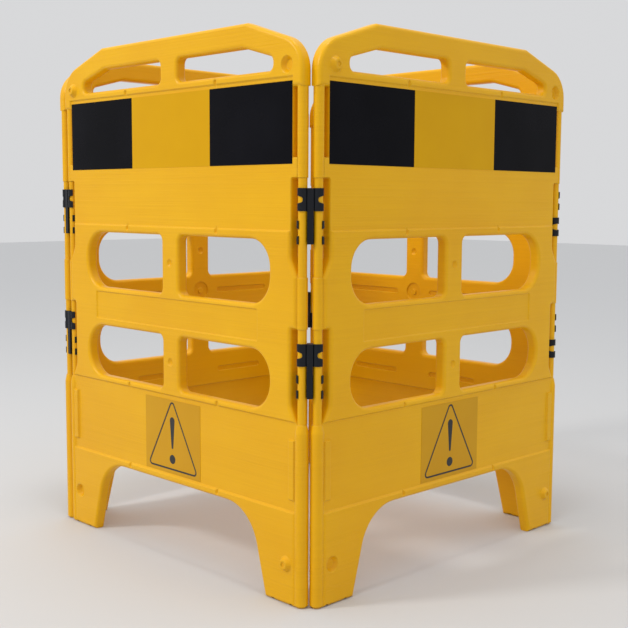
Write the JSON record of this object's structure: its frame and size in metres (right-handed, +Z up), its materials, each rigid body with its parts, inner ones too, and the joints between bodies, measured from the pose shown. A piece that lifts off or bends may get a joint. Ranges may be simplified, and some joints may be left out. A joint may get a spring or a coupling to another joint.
{
  "type": "folding crowd control barrier",
  "caption": "Free-standing square ring of moulded yellow barrier panels with black and yellow tape, joined at the corners by black hinge clips so that it folds flat.",
  "frame": {"origin": "on the ground at the centre of the ring", "axes": "+Z up; the front panel faces -Y, the right panel +X, the rear panel +Y and the left panel -X"},
  "size_m": [0.7872, 0.7636, 1],
  "materials": {
    "panel_plastic": "moulded polyethylene, satin, faint horizontal grain",
    "black_sheet": "smooth glossy stick-on sheet",
    "yellow_sheet": "smooth satin stick-on sheet",
    "label_sheet": "printed stick-on sheet with a plain warning triangle",
    "clip_plastic": "black moulded plastic, satin"
  },
  "bodies": {
    "front": {"front_panel": "panel_plastic", "front_black_tape": "black_sheet", "front_yellow_tape": "yellow_sheet", "front_warning_label": "label_sheet"},
    "right": {"right_panel": "panel_plastic", "right_black_tape": "black_sheet", "right_yellow_tape": "yellow_sheet", "right_warning_label": "label_sheet"},
    "rear": {"rear_panel": "panel_plastic", "rear_black_tape": "black_sheet", "rear_yellow_tape": "yellow_sheet", "rear_warning_label": "label_sheet"},
    "left": {"left_panel": "panel_plastic", "left_black_tape": "black_sheet", "left_yellow_tape": "yellow_sheet", "left_warning_label": "label_sheet"},
    "front_right_clips": {"front_right_upper_clip": "clip_plastic", "front_right_lower_clip": "clip_plastic"},
    "rear_right_clips": {"rear_right_upper_clip": "clip_plastic", "rear_right_lower_clip": "clip_plastic"},
    "rear_left_clips": {"rear_left_upper_clip": "clip_plastic", "rear_left_lower_clip": "clip_plastic"},
    "front_left_clips": {"front_left_upper_clip": "clip_plastic", "front_left_lower_clip": "clip_plastic"}
  },
  "joints": [
    {"name": "front_right_fold", "type": "hinge", "parent": "front", "child": "front_right_clips", "pos_m": [0.35576, -0.36233, 0], "axis": [0, 0, 1], "range_deg": [-44, 44]},
    {"name": "right_panel_turn", "type": "hinge", "parent": "front_right_clips", "child": "right", "pos_m": [0.37414, -0.34394, 0], "axis": [0, 0, 1], "range_deg": [-44, 44]},
    {"name": "rear_right_clip_turn", "type": "hinge", "parent": "right", "child": "rear_right_clips", "pos_m": [0.37414, 0.36006, 0], "axis": [0, 0, 1], "range_deg": [-23, 23]},
    {"name": "rear_panel_turn", "type": "hinge", "parent": "rear_right_clips", "child": "rear", "pos_m": [0.34824, 0.36233, 0], "axis": [0, 0, 1], "range_deg": [-65.2, 65.2]},
    {"name": "front_left_clip_turn", "type": "hinge", "parent": "front", "child": "front_left_clips", "pos_m": [-0.34824, -0.36233, 0], "axis": [0, 0, 1], "range_deg": [-65.2, 65.2]},
    {"name": "left_panel_turn", "type": "hinge", "parent": "front_left_clips", "child": "left", "pos_m": [-0.37414, -0.36006, 0], "axis": [0, 0, 1], "range_deg": [-23, 23]},
    {"name": "rear_left_clip_turn", "type": "hinge", "parent": "left", "child": "rear_left_clips", "pos_m": [-0.37414, 0.34394, 0], "axis": [0, 0, 1], "range_deg": [-44, 44]}
  ],
  "couplings": [
    {"joint": "right_panel_turn", "follows": "front_right_fold", "ratio": 1},
    {"joint": "rear_right_clip_turn", "follows": "front_right_fold", "ratio": -0.52},
    {"joint": "rear_panel_turn", "follows": "front_right_fold", "ratio": -1.48},
    {"joint": "front_left_clip_turn", "follows": "front_right_fold", "ratio": 1.48},
    {"joint": "left_panel_turn", "follows": "front_right_fold", "ratio": 0.52},
    {"joint": "rear_left_clip_turn", "follows": "front_right_fold", "ratio": -1}
  ]
}
